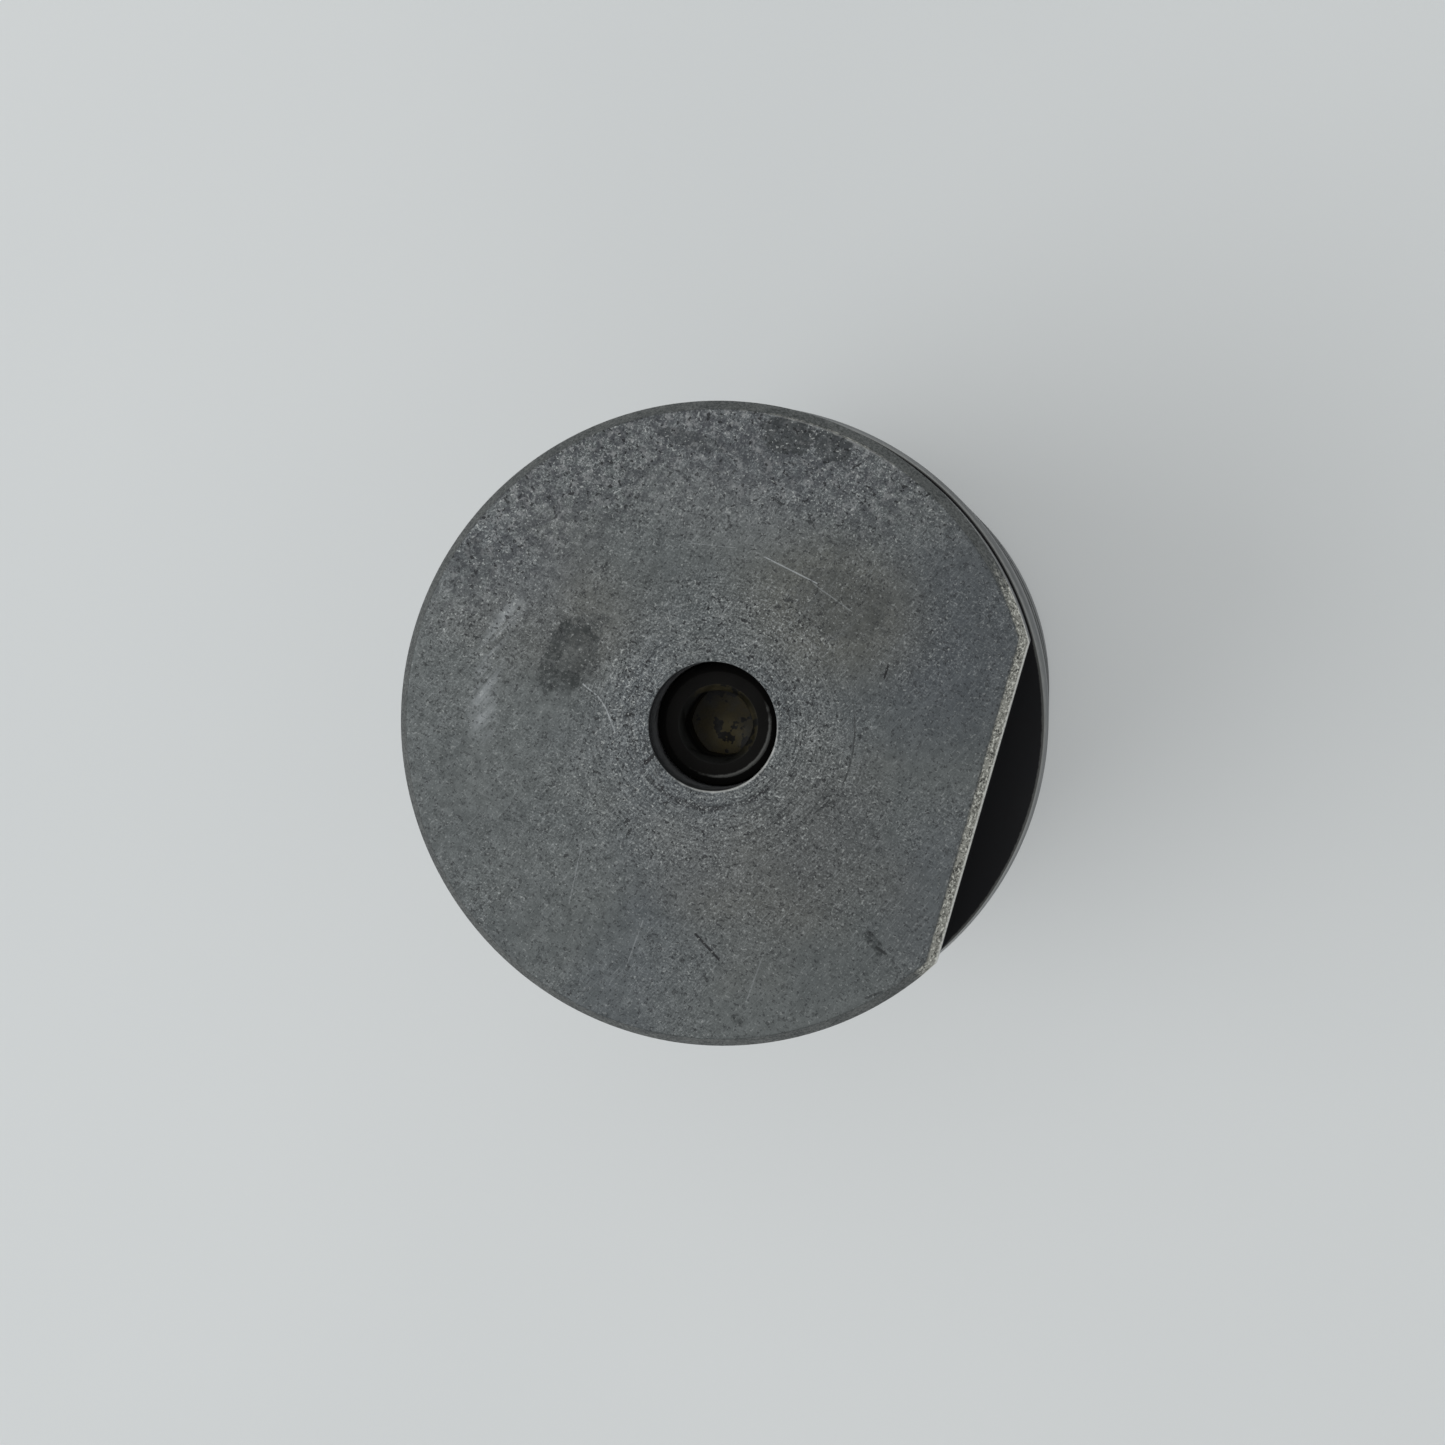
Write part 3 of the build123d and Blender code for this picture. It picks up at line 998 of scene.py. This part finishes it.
def build_beams():
    """Three beams in each zone, each in two halves that meet at the zone's own middle."""
    lower_bodies = ("lower_hub", "lower_beams", "centre_ring")
    upper_bodies = ("centre_ring", "upper_beams", "upper_hub")
    zones = [
        ("lower", LOWER_HUB_TOP, RING_BOTTOM, BROKEN_EDGE_WIDTH, lower_bodies),
        ("upper", RING_TOP, HUB_BOTTOM, EDGE_ROUND, upper_bodies),
    ]
    for zone, bottom, top, top_tuck, bodies in zones:
        middle = (bottom + top) / 2
        for index in range(BEAM_COUNT):
            start = index * TURN / BEAM_COUNT
            node = f"{zone}_beam_{index + 1}"
            foot, head = f"{node}_foot", f"{node}_head"
            foot_tuck = BROKEN_EDGE_WIDTH
            build_half_beam(foot, bottom, bottom, middle, start, [node], tuck_low=foot_tuck)
            build_half_beam(head, bottom, middle, top, start, [], tuck_high=top_tuck)


# ---------------------------------------------------------------- CAD nodes that stay

def dress(node, material, edge):
    """CAD node with its flat areas joined, its sharp edges broken and its edges bare."""
    obj = frame["nodes"][node]
    obj.data.materials.clear()
    obj.data.materials.append(material)
    obj.data.materials.append(edge)
    obj.data.shade_smooth()
    planar = obj.modifiers.new("flat_areas", "DECIMATE")
    planar.decimate_type = "DISSOLVE"
    planar.angle_limit = math.radians(0.4)
    broken = obj.modifiers.new("broken_edges", "BEVEL")
    broken.width = BROKEN_EDGE_WIDTH
    broken.segments = 2
    broken.limit_method = "ANGLE"
    broken.angle_limit = math.radians(30)
    broken.material = 1
    weighted = obj.modifiers.new("weighted_normals", "WEIGHTED_NORMAL")
    weighted.keep_sharp = False


build_upper_hub()
build_screws()
build_beams()
dress("centre_ring", BEAM, BARE_EDGE)
dress("lower_hub", WALL, BARE_EDGE)


# ---------------------------------------------------------------- stage, light and camera

FLOOR_GAP = 0.01 * MM

# Direction on the face that the picture's right-hand side shows
SCREEN_RIGHT = MARK_TURN

# Camera: its direction from the axis, then its distance from the axis, its height over the face and
# the point on the face that it looks at, right and up in the picture, all in nose radii
CAMERA_TURN = SCREEN_RIGHT + 22.0
CAMERA_ASIDE = 1.109
CAMERA_HEIGHT = 6.99
AIM_RIGHT = 0.0315
AIM_UP = 0.0126


def build_floor():
    """Pale floor that curves up into a round backdrop far from the object."""
    flat, bend, top = 0.50, 0.25, 0.70
    columns, steps = 96, 12
    profile = [(flat * step / steps, 0.0) for step in range(1, steps + 1)]
    for step in range(1, steps + 1):
        turn = math.pi / 2 * step / steps
        profile.append((flat + bend * math.sin(turn), bend * (1 - math.cos(turn))))
    profile.append((flat + bend, top))
    points = [point for radius, height in profile for point in circle(radius, height, even_angles(columns))]
    faces = [tuple(range(columns))]
    for row in range(len(profile) - 1):
        first = row * columns
        second = first + columns
        for column in range(columns):
            following = (column + 1) % columns
            faces.append((first + column, second + column, second + following, first + following))
    mesh = bpy.data.meshes.new("floor")
    mesh.from_pydata(points, [], faces)
    mesh.materials.append(floor_material())
    mesh.shade_smooth()
    floor = bpy.data.objects.new("floor", mesh)
    floor.location = (0, 0, cad_low.z - FLOOR_GAP)
    bpy.context.scene.collection.objects.link(floor)


def aim(obj, place, target, up):
    """Puts obj at a place, looking at a target with a given up direction."""
    forward = (target - place).normalized()
    right = forward.cross(up).normalized()
    over = right.cross(forward)
    obj.rotation_mode = "QUATERNION"
    matrix = obj.matrix_world.to_3x3()
    for row in range(3):
        matrix[row] = (right[row], over[row], -forward[row])
    obj.rotation_quaternion = matrix.to_quaternion()
    obj.location = place


def bearing(degrees):
    """Level direction at an angle round the axis."""
    return Vector((math.cos(math.radians(degrees)), math.sin(math.radians(degrees)), 0))


def build_light(name, direction, height, distance, size, power, colour):
    """Round area light that faces the middle of the coupling."""
    data = bpy.data.lights.new(name, "AREA")
    data.shape = "DISK"
    data.size = size
    data.energy = power
    data.color = colour
    light = bpy.data.objects.new(name, data)
    bpy.context.scene.collection.objects.link(light)
    place = bearing(direction) * distance + Vector((0, 0, height))
    aim(light, place, Vector((0, 0, LENGTH / 2)), Vector((0.1, 0.2, 1)))


def build_camera():
    """Camera above the nose and off the axis, for a close view of the end."""
    data = bpy.data.cameras.new("camera")
    data.lens = 57.3
    data.sensor_width = 36
    data.clip_start = 1 * MM
    data.clip_end = 20
    camera = bpy.data.objects.new("camera", data)
    bpy.context.scene.collection.objects.link(camera)
    face = Vector((0, 0, LENGTH))
    place = face + bearing(CAMERA_TURN) * CAMERA_ASIDE * NOSE_R + Vector((0, 0, CAMERA_HEIGHT * NOSE_R))
    right, up = bearing(SCREEN_RIGHT), bearing(SCREEN_RIGHT + 90)
    aim(camera, place, face + (right * AIM_RIGHT + up * AIM_UP) * NOSE_R, up)
    bpy.context.scene.camera = camera


def build_world():
    """Even light from all round."""
    world = bpy.data.worlds.new("studio")
    world.use_nodes = True
    background = world.node_tree.nodes["Background"]
    background.inputs["Color"].default_value = (0.975, 0.995, 1.0, 1.0)
    background.inputs["Strength"].default_value = 0.66
    bpy.context.scene.world = world


build_floor()
build_world()
build_light("left_window", SCREEN_RIGHT + 195, 0.36, 0.24, 0.30, 0.75, (0.97, 0.99, 1.0))
build_light("overhead", SCREEN_RIGHT + 120, 0.60, 0.12, 0.40, 0.45, (1.0, 1.0, 1.0))
build_camera()
bpy.context.scene.view_settings.view_transform = "Standard"
